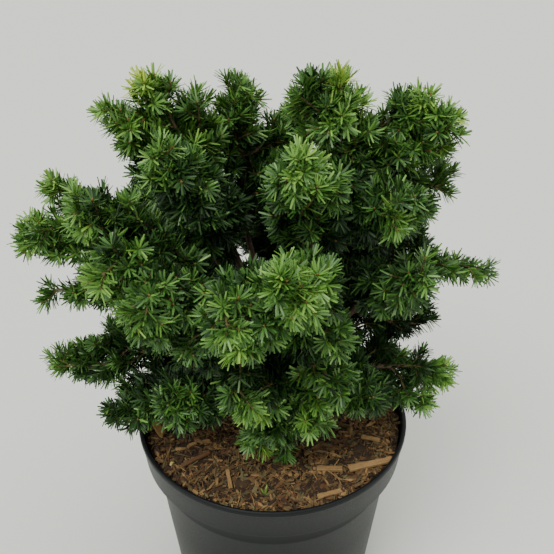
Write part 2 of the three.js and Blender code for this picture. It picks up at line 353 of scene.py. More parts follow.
POT_FINISH = Finish(
    "pot_plastic_grey", (10, 13, 14), (14, 18, 20), 0.05, 0.0009,
    roughness=0.44, roughness_spread=0.06, bump=0.00006, specular=0.22,
)
BARK_FINISH = Finish(
    "bark_brown", (50, 35, 26), (88, 66, 48), 0.006, 0.0016,
    mix=0.6, roughness=0.85, bump=0.0004, stretch=(1, 1, 0.5),
)
TWIG_FINISH = Finish(
    "twig_brown", (66, 50, 34), (92, 70, 46), 0.01, 0.0015, roughness=0.75, bump=0.0001
)
YOUNG_TWIG_FINISH = Finish(
    "twig_tan", (92, 82, 46), (116, 100, 56), 0.01, 0.0015, roughness=0.65, bump=0.0001
)
BUD_FINISH = Finish("bud_orange", (116, 84, 44), (146, 110, 62), 0.004, 0.001, roughness=0.6)
SOIL_FINISH = Finish(
    "soil_dark", (38, 27, 16), (70, 51, 31), 0.012, 0.0018, mix=0.7, roughness=0.95, bump=0.0012
)


def bark_chip(name: str, base: Rgb, second: Rgb, roughness: float) -> Finish:
    """One colour of shredded bark."""
    return Finish(f"chip_{name}", base, second, 0.01, 0.0012, roughness=roughness, bump=0.0002)


class Chip(Enum):
    """Colours of the shredded bark, each with its share of the slivers."""

    UMBER = (bark_chip("umber", (46, 33, 19), (68, 49, 29), 0.9), 0.24)
    RED = (bark_chip("red", (84, 56, 31), (110, 76, 43), 0.88), 0.18)
    BROWN = (bark_chip("brown", (88, 68, 39), (114, 90, 55), 0.88), 0.28)
    TAN = (bark_chip("tan", (128, 98, 57), (154, 122, 77), 0.85), 0.18)
    OLIVE = (bark_chip("olive", (84, 76, 46), (112, 102, 66), 0.9), 0.12)

    @property
    def finish(self) -> Finish:
        """The colour's finish."""
        return self.value[0]

    @property
    def share(self) -> float:
        """The colour's share of the slivers."""
        return self.value[1]


LEAF_FINISH = Finish(
    "leaf_dry", (168, 128, 70), (194, 156, 96), 0.006, 0.0015, roughness=0.8, bump=0.0001
)
SEEDLING_FINISH = Finish("seedling_green", (112, 150, 62), (140, 172, 84), 0.004, 0.001, roughness=0.5)
PITH_FINISH = Finish(
    "pith_yellow", (172, 160, 88), (192, 178, 112), 0.004, 0.001, roughness=0.8, bump=0.0001
)


# ---------------------------------------------------------------- pot


@dataclass
class Pot:
    """Round nursery pot: tapered wall, stepped collar, rolled lip, drained floor."""

    segments: int = 96
    outside: list[Pair] = field(default_factory=lambda: [
        (66.0, 1.6), (70.5, 1.6), (71.2, 0.0), (72.6, 0.0), (73.2, 0.7), (73.9, 8.0), (77.0, 40.0),
        (81.0, 80.0), (83.6, 107.4), (83.9, 108.4), (84.0, 109.8), (83.9, 110.8), (84.4, 116.0),
        (85.2, 123.2), (86.2, 124.6), (91.0, 124.6), (91.9, 125.4), (92.2, 127.0), (94.0, 145.6),
        (94.4, 146.2), (94.9, 146.9), (95.0, 148.6), (94.6, 149.6), (93.8, 150.0), (92.8, 149.9),
        (92.2, 149.2),
    ])
    inside: list[Pair] = field(default_factory=lambda: [
        (91.8, 146.5), (90.6, 127.6), (90.0, 126.6), (84.4, 126.4), (83.6, 125.6), (79.2, 80.0),
        (71.8, 4.0), (70.6, 2.6), (64.0, 2.5),
    ])
    drain_count: int = 6
    drain_radius: float = 4.5
    drain_ring: float = 52.0

    def build(self) -> None:
        """Models the pot, cuts its drain holes and dresses it."""
        pot = turned("pot_shell", self.outside + self.inside, self.segments)
        drills = [self._drill(i) for i in range(self.drain_count)]
        drill = join(drills, "drill")
        settle(drill)
        apply_modifier(pot, "BOOLEAN", operation="DIFFERENCE", solver="EXACT", object=drill)
        bpy.data.objects.remove(drill)
        only(pot)
        bpy.ops.object.shade_smooth_by_angle(angle=math.radians(32))
        hand_over(pot, "pot_plastic", ["pot"], POT_FINISH)

    def _drill(self, index: int) -> bpy.types.Object:
        """The cutter of one drain hole."""
        angle = (index + 0.5) * 2 * math.pi / self.drain_count
        ring = self.drain_ring * MM
        bpy.ops.mesh.primitive_cylinder_add(
            vertices=24, radius=self.drain_radius * MM, depth=12 * MM,
            location=(ring * math.cos(angle), ring * math.sin(angle), 2 * MM),
        )
        return bpy.context.object


def turned(name: str, profile: list[Pair], segments: int) -> bpy.types.Object:
    """A closed round shell drawn up ring by ring from a circle.

    Args:
        name: the object's name.
        profile: radius and height of each ring in millimetres, from the underside round to the top.
        segments: how many corners each ring has.

    Returns:
        The shell, closed at both poles, its place in its mesh.
    """
    deselect()
    radius, height = profile[0]
    bpy.ops.mesh.primitive_circle_add(vertices=segments, radius=radius * MM, location=(0, 0, height * MM))
    shell = bpy.context.object
    shell.name = name
    settle(shell)
    bpy.ops.object.mode_set(mode="EDIT")
    bpy.ops.mesh.select_mode(type="EDGE")
    bpy.ops.mesh.select_all(action="SELECT")
    for new_radius, new_height in profile[1:]:
        bpy.ops.mesh.extrude_region_move(
            TRANSFORM_OT_translate={"value": (0, 0, (new_height - height) * MM)}
        )
        share = new_radius / radius
        bpy.ops.transform.resize(value=(share, share, 1), center_override=(0, 0, new_height * MM))
        radius, height = new_radius, new_height
    bpy.ops.mesh.extrude_region_move(TRANSFORM_OT_translate={"value": (0, 0, 0)})
    bpy.ops.mesh.merge(type="CENTER")
    bpy.ops.mesh.select_all(action="DESELECT")
    bpy.ops.mesh.select_non_manifold(extend=False)
    bpy.ops.mesh.extrude_region_move(TRANSFORM_OT_translate={"value": (0, 0, 0)})
    bpy.ops.mesh.merge(type="CENTER")
    bpy.ops.mesh.select_all(action="SELECT")
    bpy.ops.mesh.normals_make_consistent(inside=False)
    bpy.ops.object.mode_set(mode="OBJECT")
    return shell


# ---------------------------------------------------------------- mulch


@dataclass
class MulchBed:
    """Soil that fills the pot, lumpy on top, under a litter of shredded bark."""

    level: float = 140.0
    edge_rise: float = 3.0
    segments: int = 128
    rings: int = 26
    edge_radius: float = 90.6
    clear_radius: float = 17.0
    hump: float = 1.3
    sunk: float = 1.0
    rough_above: float = 137.0
    rough_inside: float = 89.5
    lumps: tuple[Pair, ...] = ((9 * MM, 3.4 * MM), (3 * MM, 2.2 * MM))

    def height(self, x: np.ndarray, y: np.ndarray) -> np.ndarray:
        """Height in millimetres of the bed's surface over places in millimetres."""
        radius = np.hypot(x, y)
        share = np.clip((radius - self.clear_radius) / (self.edge_radius - self.clear_radius), 0, 1)
        humps = np.sin(0.11 * x + 1) * np.cos(0.09 * y) + np.sin(0.23 * y + 2) / 2
        rise = self.edge_rise * share**2
        return self.level + rise + self.hump * humps * np.clip(share * 4, 0, 1) - self.sunk

    def build(self) -> None:
        """Models the soil body and dresses it."""
        profile = [(20.0, 3.0), (70.0, 3.0), (71.0, 5.0), (83.0, 126.8), (90.0, 128.0)]
        profile += [(self.edge_radius - 0.4, 141.0)]
        for ring in range(self.rings):
            radius = self.edge_radius * (1 - (ring + 0.5) / self.rings)
            profile.append((radius, float(self.height(np.array(radius), np.array(0.0)))))
        bed = turned("mulch_soil", profile, self.segments)
        for lump, strength in self.lumps:
            bed.vertex_groups.clear()
            group = bed.vertex_groups.new(name="top")
            group.add([v.index for v in bed.data.vertices if self._is_top(v.co)], 1.0, "REPLACE")
            displace(bed, f"lumps_{lump}", lump, strength, direction="Z", vertex_group="top")
        bed.vertex_groups.clear()
        smooth(bed)
        hand_over(bed, "bark_mulch", ["mulch"], SOIL_FINISH)

    def _is_top(self, place: Vector) -> bool:
        """Whether a place is on the open top of the bed, clear of the pot's wall."""
        return place.z > self.rough_above * MM and place.xy.length < self.rough_inside * MM


@dataclass(frozen=True)
class Scrap:
    """One size of shredded bark: how many, how long, how slender and how high it lies, in millimetres."""

    count: int
    length: float
    spread: float
    longest: float
    slender: Pair
    widest: float
    lift: float


@dataclass
class Litter:
    """Slivers, fibres and chips of shredded bark strewn over the bed."""

    bed: MulchBed
    scraps: tuple[Scrap, ...] = (
        Scrap(9800, 3.8, 0.45, 12.0, (0.16, 0.45), 2.4, 2.8),
        Scrap(1100, 9.0, 0.35, 18.0, (0.05, 0.09), 0.8, 4.0),
        Scrap(300, 8.0, 0.30, 15.0, (0.20, 0.34), 3.6, 3.0),
    )
    seed: int = 11
    stations: int = 3

    def build(self) -> None:
        """Strews the slivers and dresses them, one piece for each colour."""
        rng = np.random.default_rng(self.seed)
        shares = np.array([chip.share for chip in Chip])
        batches, colours = [], []
        for scrap in self.scraps:
            batches.append(self._strew(scrap, rng))
            colours.append(rng.choice(len(shares), scrap.count, p=shares / shares.sum()))
        points, colour = np.concatenate(batches), np.concatenate(colours)
        for index, chip in enumerate(Chip):
            self._piece(chip, points[colour == index])

    def _strew(self, scrap: Scrap, rng: np.random.Generator) -> np.ndarray:
        """Lays out all scraps of one size.

        Args:
            scrap: the size laid out.
            rng: the source of chance.

        Returns:
            Points in millimetres, one row of corners for each scrap.
        """
        n = scrap.count
        radius = (self.bed.edge_radius - 2.0) * np.sqrt(rng.random(n))
        angle = rng.random(n) * 2 * math.pi
        x, y = radius * np.cos(angle), radius * np.sin(angle)
        length = np.clip(rng.lognormal(math.log(scrap.length), scrap.spread, n), 1.8, scrap.longest)
        width = np.clip(length * rng.uniform(*scrap.slender, n), 0.45, scrap.widest)
        thick = np.clip(width * rng.uniform(0.35, 0.7, n), 0.35, 1.5)
        z = self.bed.height(x, y) + 0.3 + scrap.lift * rng.random(n) ** 1.3
        heading = rng.random(n) * 2 * math.pi
        tilt = rng.normal(0, 0.18, n) + 0.35 * (rng.random(n) < 0.12)
        roll = rng.normal(0, 0.6, n)
        room = self.bed.edge_radius - 1.5 - radius
        length = np.where(length / 2 > room + 3, np.maximum(2.5, room * 2), length)
        place = np.stack([x, y, z], 1)
        return slivers(rng, place, length, width, thick, heading, tilt, roll, self.stations)

    def _piece(self, chip: Chip, points: np.ndarray) -> None:
        """The joined slivers of one colour."""
        last = 4 * (self.stations - 1)
        caps = [(3, 2, 1, 0), (last, last + 1, last + 2, last + 3)]
        faces = repeated(np.vstack([ring_quads(self.stations, 4), caps]), *points.shape[:2])
        name = f"mulch_{chip.name.lower()}"
        piece = mesh_piece(name, points.reshape(-1, 3) * MM, faces, flat=True)
        hand_over(piece, "bark_mulch", ["mulch"], chip.finish)


def slivers(
    rng: np.random.Generator, centre: np.ndarray, length: np.ndarray, width: np.ndarray,
    thick: np.ndarray, heading: np.ndarray, tilt: np.ndarray, roll: np.ndarray, stations: int,
) -> np.ndarray:
    """Bent four-sided splinters.

    Args:
        rng: the source of chance.
        centre: middle of each splinter in millimetres.
        length: length of each.
        width: breadth of each.
        thick: thickness of each.
        heading: turn about +Z of each, in radians.
        tilt: rise of its long axis, in radians.
        roll: turn about its long axis, in radians.
        stations: how many four-cornered sections each has.

    Returns:
        Points, n by corners by 3, section after section.
    """
    n = len(centre)
    along = np.stack([np.cos(heading) * np.cos(tilt), np.sin(heading) * np.cos(tilt), np.sin(tilt)], 1)
    flat = np.stack([-np.sin(heading), np.cos(heading), np.zeros(n)], 1)
    top = np.cross(along, flat)
    side = flat * np.cos(roll)[:, None] + top * np.sin(roll)[:, None]
    face = np.cross(along, side)
    bend = rng.normal(0, 0.10, n) * length
    sweep = rng.normal(0, 0.07, n) * length
    rings = []
    for k in range(stations):
        t = k / (stations - 1)
        s = t - 0.5
        spine = centre + along * (length * s)[:, None]
        spine = spine + face * (bend * (0.25 - s * s))[:, None] + side * (sweep * (0.25 - s * s))[:, None]
        end = k in (0, stations - 1)
        w = width * rng.uniform(0.30, 0.95, n) / 2 if end else width * rng.uniform(0.85, 1.1, n) / 2
        h = thick * (0.6 if end else 1.0) * rng.uniform(0.7, 1.15, n) / 2
        for a, b in ((-1, -1), (1, -1), (1, 1), (-1, 1)):
            rings.append(spine + side * (a * w)[:, None] + face * (b * h)[:, None])
    return np.stack(rings, 1)


@dataclass(frozen=True)
class Splint:
    """A splinter of wood that lies by itself: both ends, breadth and thickness in millimetres, and finish."""

    name: str
    start: Pair
    end: Pair
    breadth: float
    thick: float
    lift: float
    finish: Finish


@dataclass
class Finds:
    """The few bits on the mulch that catch the eye: large splints, a leaf, a seedling, a crumb of pith."""

    bed: MulchBed
    splints: tuple[Splint, ...] = (
        Splint("splint_long", (50, -54), (80, -46), 4.6, 2.8, 4.2, Chip.TAN.finish),
        Splint("splint_next", (29, -52), (46, -53), 4.0, 2.2, 3.6, Chip.TAN.finish),
        Splint("splint_front", (28, -76), (44, -71), 3.4, 1.8, 3.6, Chip.TAN.finish),
        Splint("splint_left", (-30, -53), (-27, -68), 2.6, 1.6, 4.0, Chip.TAN.finish),
        Splint("stick_dark", (-60, -51), (-43, -36), 2.8, 2.2, 4.6, Chip.RED.finish),
        Splint("splint_back", (62, -22), (74, -27), 3.4, 1.8, 3.8, Chip.TAN.finish),
    )
    leaf_at: Pair = (-81.0, -17.0)
    seedling_at: Pair = (-5.0, -73.0)
    pith_at: Pair = (-67.0, -47.0)

    def build(self) -> None:
        """Models and dresses every bit."""
        for splint in self.splints:
            hand_over(self._splint(splint), "bark_mulch", ["mulch"], splint.finish)
        hand_over(self._leaf(), "bark_mulch", ["mulch"], LEAF_FINISH)
        hand_over(self._seedling(), "bark_mulch", ["mulch"], SEEDLING_FINISH)
        hand_over(self._pith(), "bark_mulch", ["mulch"], PITH_FINISH)

    def _ground(self, place: Pair) -> float:
        """Height of the bed under a place, in millimetres."""
        return float(self.bed.height(np.array(place[0]), np.array(place[1])))

    def _splint(self, splint: Splint) -> bpy.types.Object:
        """One splinter: a worn, split block laid between its ends."""
        deselect()
        start, end = (Vector((*p, self._ground(p) + splint.lift)) for p in (splint.start, splint.end))
        run = end - start
        bpy.ops.mesh.primitive_cube_add(size=MM)
        piece = bpy.context.object
        piece.name = splint.name
        piece.scale = (run.length, splint.breadth, splint.thick)
        settle(piece)
        bpy.ops.object.mode_set(mode="EDIT")
        bpy.ops.mesh.select_all(action="SELECT")
        bpy.ops.mesh.bevel(offset=splint.thick * 0.22 * MM, segments=1)
        bpy.ops.mesh.select_all(action="SELECT")
        bpy.ops.mesh.subdivide(number_cuts=5)
        bpy.ops.object.mode_set(mode="OBJECT")
        displace(piece, f"split_{splint.name}", 3.2 * MM, 1.3 * MM)
        piece.rotation_euler = run.to_track_quat("X", "Z").to_euler()
        piece.location = (start + end) / 2 * MM
        settle(piece)
        return piece

    def _leaf(self) -> bpy.types.Object:
        """A dry leaf curled along its midrib, pointed at both ends."""
        deselect()
        bpy.ops.mesh.primitive_grid_add(x_subdivisions=12, y_subdivisions=6, size=2)
        leaf = bpy.context.object
        leaf.name = "leaf_dry"
        for vertex in leaf.data.vertices:
            x, y = vertex.co.x, vertex.co.y
            wide = max(0.04, 1 - x * x) * 3.2
            vertex.co = Vector((x * 9.5, y * wide, 1.9 * (y * wide / 3.2) ** 2 + 1.6 * x * x)) * MM
        apply_modifier(leaf, "SOLIDIFY", thickness=0.35 * MM)
        leaf.rotation_euler = (math.radians(24), math.radians(-16), math.radians(118))
        leaf.location = Vector((*self.leaf_at, self._ground(self.leaf_at) + 7.0)) * MM
        settle(leaf)
        smooth(leaf)
        return leaf

    def _seedling(self) -> bpy.types.Object:
        """Three narrow upright leaves rising from one foot."""
        parts = []
        foot = Vector((*self.seedling_at, self._ground(self.seedling_at))) * MM
        for index, (turn, lean, long) in enumerate(((20, 10, 10.5), (150, 16, 8.5), (262, 24, 7.0))):
            deselect()
            bpy.ops.mesh.primitive_uv_sphere_add(segments=8, ring_count=6, radius=1)
            blade = bpy.context.object
            blade.scale = Vector((0.8, 0.35, long / 2)) * MM
            settle(blade)
            blade.data.transform(Matrix.Translation((0, 0, long / 2 * MM)))
            blade.rotation_euler = (math.radians(lean), 0, math.radians(turn))
            blade.location = foot + Vector((0, 0, index * 0.5 * MM))
            settle(blade)
            parts.append(blade)
        seedling = join(parts, "seedling")
        smooth(seedling)
        return seedling

    def _pith(self) -> bpy.types.Object:
        """A pale crumb of pith."""
        deselect()
        bpy.ops.mesh.primitive_ico_sphere_add(subdivisions=3, radius=1)
        pith = bpy.context.object
        pith.name = "pith"
        pith.scale = Vector((2.6, 1.4, 1.3)) * MM
        settle(pith)
        displace(pith, "crumb", 1.6 * MM, 0.9 * MM)
        pith.rotation_euler = (0, math.radians(20), math.radians(70))
        pith.location = Vector((*self.pith_at, self._ground(self.pith_at) + 3.0)) * MM
        settle(pith)
        smooth(pith)
        return pith


# ---------------------------------------------------------------- limbs


@dataclass
class Limb:
    """One trunk or bough: its centre line and girth, traced from its node by plane cuts."""

    name: str
    stations: int = 9
    cut_span: Pair = (0.06, 0.94)
    thinnest: float = 0.8 * MM
    points: np.ndarray = field(default_factory=lambda: np.zeros((0, 3)))
    radii: np.ndarray = field(default_factory=lambda: np.zeros(0))

    def trace(self) -> "Limb":
        """Cuts the node across its long axis and fits a smooth curve through the sections."""
        mesh = frame["nodes"][self.name].data
        verts = np.array([v.co for v in mesh.vertices]).reshape(-1, 3)
        centre = verts.mean(0)
        axis = np.linalg.svd(verts - centre, full_matrices=False)[2][0]
        if self.name == "trunk":
            axis = UP
        axis = axis if axis[2] > 0 else -axis
        spread = (verts - centre) @ axis
        edges = np.array([e.vertices for e in mesh.edges])
        shares = np.linspace(*self.cut_span, self.stations)
        cuts, middles, girths = [], [], []
        for share in shares:
            level = spread.min() + share * np.ptp(spread)
            a, b = spread[edges[:, 0]] - level, spread[edges[:, 1]] - level
            crossing = a * b < 0
            if crossing.sum() < 3:
                continue
            t = (a[crossing] / (a[crossing] - b[crossing]))[:, None]
            cut = verts[edges[crossing, 0]] * (1 - t) + verts[edges[crossing, 1]] * t
            middle = (cut.max(0) + cut.min(0)) / 2 if len(cut) < 4 else cut.mean(0)
            cuts.append(share)
            middles.append(middle)
            girths.append(np.linalg.norm(cut - middle, axis=1).mean())
        degree = 1 if self.name == "trunk" else 2
        line = [np.polyfit(cuts, np.array(middles)[:, i], 2) for i in range(3)]
        width = np.polyfit(cuts, girths, degree)
        ends = np.linspace(0.0, 1.0, self.stations)
        self.points = np.stack([np.polyval(c, ends) for c in line], 1)
        self.radii = np.maximum(np.polyval(width, ends), self.thinnest)
        return self

    def at(self, spacing: float) -> Arrays:
        """Places and forward directions at an even spacing along the limb."""
        steps = np.linalg.norm(np.diff(self.points, axis=0), axis=1)
        run = np.concatenate([[0], np.cumsum(steps)])
        marks = np.arange(0, run[-1], spacing)
        places = np.stack([np.interp(marks, run, self.points[:, i]) for i in range(3)], 1)
        forward = unit(np.gradient(places, axis=0)) if len(places) > 1 else np.array([UP])
        return places, forward

    def rod(self, sides: int, root_flare: float) -> bpy.types.Object:
        """The limb drawn out ring by ring from a circle.

        Args:
            sides: corners of each ring.
            root_flare: how much the foot swells, as a share of its radius.

        Returns:
            A closed rod without relief.
        """
        chord = Vector(self.points[-1] - self.points[0]).normalized()
        turn = chord.to_track_quat("Z", "Y").to_euler()
        deselect()
        girths = self.radii.copy()
        if root_flare:
            girths[0] *= 1 + root_flare
            girths[1] *= 1 + root_flare * 0.25
        bpy.ops.mesh.primitive_circle_add(
            vertices=sides, radius=girths[0], fill_type="NGON", location=self.points[0], rotation=turn
        )
        rod = bpy.context.object
        settle(rod)
        bpy.ops.object.mode_set(mode="EDIT")
        bpy.ops.mesh.select_mode(type="FACE")
        bpy.ops.mesh.select_all(action="SELECT")
        for k in range(1, len(self.points)):
            step = self.points[k] - self.points[k - 1]
            share = girths[k] / girths[k - 1]
            bpy.ops.mesh.extrude_region_move(TRANSFORM_OT_translate={"value": step})
            bpy.ops.transform.resize(value=(share, share, share), center_override=self.points[k])
        bpy.ops.mesh.select_all(action="SELECT")
        bpy.ops.mesh.normals_make_consistent(inside=False)
        bpy.ops.object.mode_set(mode="OBJECT")
        return rod


@dataclass
class Bark:
    """Trunk and boughs with flaking bark in relief, joined into one piece."""

    limbs: list[Limb]
    sides: int = 10
    flake: float = 2.6 * MM
    relief: float = 0.9 * MM
    root_flare: float = 0.25

    def build(self) -> None:
        """Models every limb, raises the bark and dresses the joined piece."""
        rods = []
        for limb in self.limbs:
            rods.append(limb.rod(self.sides, self.root_flare if limb.name == "trunk" else 0.0))
        bark = join(rods, "bark_limbs")
        apply_modifier(bark, "SUBSURF", levels=2, render_levels=2)
        for lump, strength in ((self.flake * 3, self.relief), (self.flake, self.relief * 0.8)):
            displace(bark, f"flakes_{lump}", lump, strength)
        smooth(bark)
        hand_over(bark, "bark", LIMB_NODES, BARK_FINISH)


# ---------------------------------------------------------------- branching rule


@dataclass
class CrownVolume:
    """The room that foliage may fill: places inside the frame's masses, with their depth."""

    step: float = 3.2 * MM
    jitter: float = 1.2 * MM
    margin: float = 1.8 * MM
    head_depth: Pair = (2.4 * MM, 8.0 * MM)
    uneven: Pair = (0.85, 1.3)
    heart: tuple[float, float, float] = (0.0, 0.0, 0.215)
    cone: float = 0.93
    least_reach: float = 20 * MM
    block: int = 2000
    widening: Pair = (0.35, 0.45)
    seed: int = 5
    places: np.ndarray = field(default_factory=lambda: np.zeros((0, 3)))
    depth: np.ndarray = field(default_factory=lambda: np.zeros(0))
    outer: np.ndarray = field(default_factory=lambda: np.zeros(0))
    index: KDTree | None = None

    def fill(self) -> "CrownVolume":
        """Finds the places inside every mass."""
        rng = np.random.default_rng(self.seed)
        places, depths, skins = [], [], []
        for name in FOLIAGE_NODES:
            mesh = frame["nodes"][name].data
            verts = [v.co.copy() for v in mesh.vertices]
            tree = BVHTree.FromPolygons(verts, [tuple(p.vertices) for p in mesh.polygons])
            skins.append(np.array(verts))
            low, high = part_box(name)
            axes = [np.arange(low[i], high[i], self.step) for i in range(3)]
            grid = np.stack(np.meshgrid(*axes, indexing="ij"), -1).reshape(-1, 3)
            grid = grid + rng.uniform(-self.jitter, self.jitter, grid.shape)
            for place in grid:
                distance = tree.find_nearest(place)[3]
                if distance < self.margin:
                    continue
                _, leaving, _, _ = tree.ray_cast(Vector(place), Vector(UP))
                if leaving is not None and leaving.dot(Vector(UP)) > 0:
                    places.append(place)
                    depths.append(distance)
        self.places = np.array(places)
        self.depth = np.array(depths)
        self.index = KDTree(len(places))
        for i, place in enumerate(places):
            self.index.insert(place, i)
        self.index.balance()
        self.outer = self.outerness(self.places, np.concatenate(skins))
        return self

    def outerness(self, places: np.ndarray, skin: np.ndarray) -> np.ndarray:
        """How far out each place lies, from 0 at the crown's heart to 1 at its outline.

        Args:
            places: the places asked about.
            skin: points on the skin of the masses.

        Returns:
            One share for each place.
        """
        heart = np.array(self.heart)
        ray, reach = unit(places - heart), np.linalg.norm(places - heart, axis=1)
        skin_ray, skin_reach = unit(skin - heart), np.linalg.norm(skin - heart, axis=1)
        share = np.zeros(len(places))
        for start in range(0, len(places), self.block):
            rows = slice(start, start + self.block)
            near = ray[rows] @ skin_ray.T > self.cone
            share[rows] = reach[rows] / np.where(near, skin_reach[None], self.least_reach).max(1)
        return np.clip(share, 0, 1)

    def targets(self, near: float, far: float) -> np.ndarray:
        """A scatter of well-spaced places for the heads of shoots, most of them just under the skin.

        Args:
            near: spacing at the crown's outline.
            far: spacing at its heart.

        Returns:
            Row numbers into the places.
        """
        rng = np.random.default_rng(self.seed + 1)
        cells: dict[Cell, list[int]] = {}
        chosen = []
        order = rng.permutation(len(self.places))
        low, high = self.head_depth
        order = order[np.argsort((self.depth[order] < low) | (self.depth[order] > high), kind="stable")]
        for i in order:
            place = self.places[i]
            share = min(1.0, max(0.0, (self.outer[i] - self.widening[0]) / self.widening[1]))
            gap = (far + (near - far) * share) * rng.uniform(*self.uneven)
            key = tuple(int(c) for c in np.floor(place / far))
            if self._crowded(place, gap, key, cells):
                continue
            cells.setdefault(key, []).append(i)
            chosen.append(i)
        return np.array(chosen)

    def holds(self, place: np.ndarray, slack: float) -> bool:
        """Whether a place lies in the masses, or outside them by no more than the slack."""
        return self.index.find(place)[2] < slack

    def _crowded(
        self, place: np.ndarray, gap: float, key: Cell, cells: dict[Cell, list[int]]
    ) -> bool:
        """Whether an earlier choice lies within the gap."""
        for dx, dy, dz in product((-1, 0, 1), repeat=3):
            for j in cells.get((key[0] + dx, key[1] + dy, key[2] + dz), ()):
                d = self.places[j] - place
                if d[0] * d[0] + d[1] * d[1] + d[2] * d[2] < gap * gap:
                    return True
        return False


@dataclass
class Growth:
    """The branching rule: shoots creep out from the limbs, each taking the easiest way to its target."""

    limbs: list[Limb]
    volume: CrownVolume
    near: float = 10.6 * MM
    far: float = 11.5 * MM
    side_shoots: int = 4
    side_length: Pair = (6.0 * MM, 9.5 * MM)
    slack: float = 4.0 * MM
    recess: float = 0.04
    reach: float = 62 * MM
    stride: float = 5.5 * MM
    turn_cost: float = 1.1
    home_cost: float = 0.32
    crowd_cost: float = 2.5 * MM
    nearest: float = 3 * MM
    skin_depth: float = 4.0
    deep: float = 12 * MM
    limb_spacing: float = 4 * MM
    bare_share: float = 0.22
    room: int = 60000
    seed: int = 7
    pos: np.ndarray = field(init=False)
    way: np.ndarray = field(init=False)
    home: np.ndarray = field(init=False)
    parent: np.ndarray = field(init=False)
    kids: np.ndarray = field(init=False)
    out: np.ndarray = field(init=False)
    head: np.ndarray = field(init=False)
    heir: np.ndarray = field(init=False)
    tail: np.ndarray = field(init=False)
    girth: np.ndarray = field(init=False)
    count: int = 0
    wooden: int = 0

    def grow(self) -> "Growth":
        """Grows the whole skeleton."""
        self._plant()
        targets = self.volume.targets(self.near, self.far)
        places, depth = self.volume.places[targets], self.volume.depth[targets]
        # Heads deeper under the skin count as less outer: their needles get darker tints, which is painted
        # shade, and fewer needles and buds are set on them.
        outer = np.clip(self.volume.outer[targets] - self.recess * (depth / MM - self.skin_depth), 0, 1)
        wood = self.pos[: self.count]
        away = np.array([np.min(np.linalg.norm(wood - p, axis=1)) for p in places])
        order = np.argsort(away - np.minimum(depth, self.deep))
        rng = np.random.default_rng(self.seed)
        for head, k in enumerate(order):
            tip = self._reach_for(places[k], outer[k], head)
            if tip is not None:
                self._whorl(tip, outer[k], head, rng)
        self._smooth()
        self._measure()
        return self

    def _plant(self) -> None:
        """Lays the limbs down as the first nodes."""
        self.pos, self.way = np.zeros((2, self.room, 3))
        self.home, self.kids, self.out = np.zeros((3, self.room))
        self.parent = np.full(self.room, -1)
        self.head = np.zeros(self.room, dtype=int)
        for limb in self.limbs:
            if limb.name == "trunk":
                continue
            places, ways = limb.at(self.limb_spacing)
            skip = int(len(places) * self.bare_share)
            for place, way in zip(places[skip:], ways[skip:]):
                self._add(place, way, 0.0, -1, 0.0, 0)
        self.wooden = self.count

    def _add(
        self, place: np.ndarray, way: np.ndarray, home: float, parent: int, outer: float, head: int
    ) -> int:
        """Adds one node and returns its number."""
        i = self.count
        self.head[i] = head
        self.pos[i], self.way[i], self.home[i], self.parent[i], self.out[i] = place, way, home, parent, outer
        if parent >= 0:
            self.kids[parent] += 1
        self.count += 1
        return i

    def _reach_for(self, place: np.ndarray, outer: float, head: int) -> int | None:
        """Grows one shoot from the easiest node to a target, and returns its tip."""
        n = self.count
        gap = place - self.pos[:n]
        distance = np.linalg.norm(gap, axis=1)
        near = np.flatnonzero((distance < self.reach) & (distance > self.nearest))
        if not len(near):
            return None
        d = distance[near]
        turn = 1 - np.einsum("ij,ij->i", gap[near], self.way[near]) / d
        cost = d * (1 + self.turn_cost * turn**1.5) + self.home_cost * self.home[near]
        cost = cost + self.crowd_cost * np.maximum(self.kids[near] - 1, 0)
        best = near[np.argmin(cost)]
        return self._shoot(best, place, outer, head)

    def _whorl(self, tip: int, outer: float, head: int, rng: np.random.Generator) -> None:
        """Sets short side shoots round the end of a shoot, so that it becomes a star-like head."""
        way = self.way[tip]
        across, over = (v[0] for v in square(way[None]))
        turn = rng.random() * 2 * math.pi
        foot = self.parent[tip]
        for k in range(self.side_shoots):
            angle = turn + k * 2 * math.pi / self.side_shoots + rng.normal(0, 0.3)
            ahead = unit(way * rng.uniform(0.7, 1.2) + around(across, over, angle) + UP * 0.15)
            place = self.pos[foot] + ahead * rng.uniform(*self.side_length)
            if self.volume.holds(place, self.slack):
                self._shoot(foot, place, outer, head)

    def _shoot(self, start: int, place: np.ndarray, outer: float, head: int) -> int:
        """Adds the nodes of one shoot, curving out of its parent's direction, and returns its tip."""
        base, way = self.pos[start], self.way[start]
        span = np.linalg.norm(place - base)
        straight = (place - base) / span
        lead = unit(way * 0.55 + straight)
        end = unit(straight * 1.6 - lead * 0.6 + UP * 0.12)
        steps = max(1, int(round(span / self.stride)))
        last, home = start, self.home[start]
        before = base
        for k in range(1, steps + 1):
            a, b, c, d = hermite(k / steps)
            point = a * base + b * span * lead + c * place + d * span * end
            home += float(np.linalg.norm(point - before))
            last = self._add(point, unit(point - before), home, last, outer, head)
            before = point
        return last

    def _smooth(self) -> None:
        """Evens out the wiggles of the shoots."""
        n = self.count
        heir = self._heirs()
        for _ in range(2):
            move = self.pos[:n].copy()
            for i in range(self.wooden, n):
                if heir[i] >= 0 and self.parent[i] >= 0:
                    move[i] = 0.5 * self.pos[i] + 0.25 * (self.pos[self.parent[i]] + self.pos[heir[i]])
            self.pos[:n] = move

    def _heirs(self) -> np.ndarray:
        """For each node, the child that goes on most nearly straight."""
        n = self.count
        heir = np.full(n, -1)
        best = np.full(n, -2.0)
        for i in range(self.wooden, n):
            p = self.parent[i]
            along = float(np.dot(unit(self.pos[i] - self.pos[p]), self.way[p]))
            if p >= self.wooden and along > best[p]:
                best[p], heir[p] = along, i
        return heir

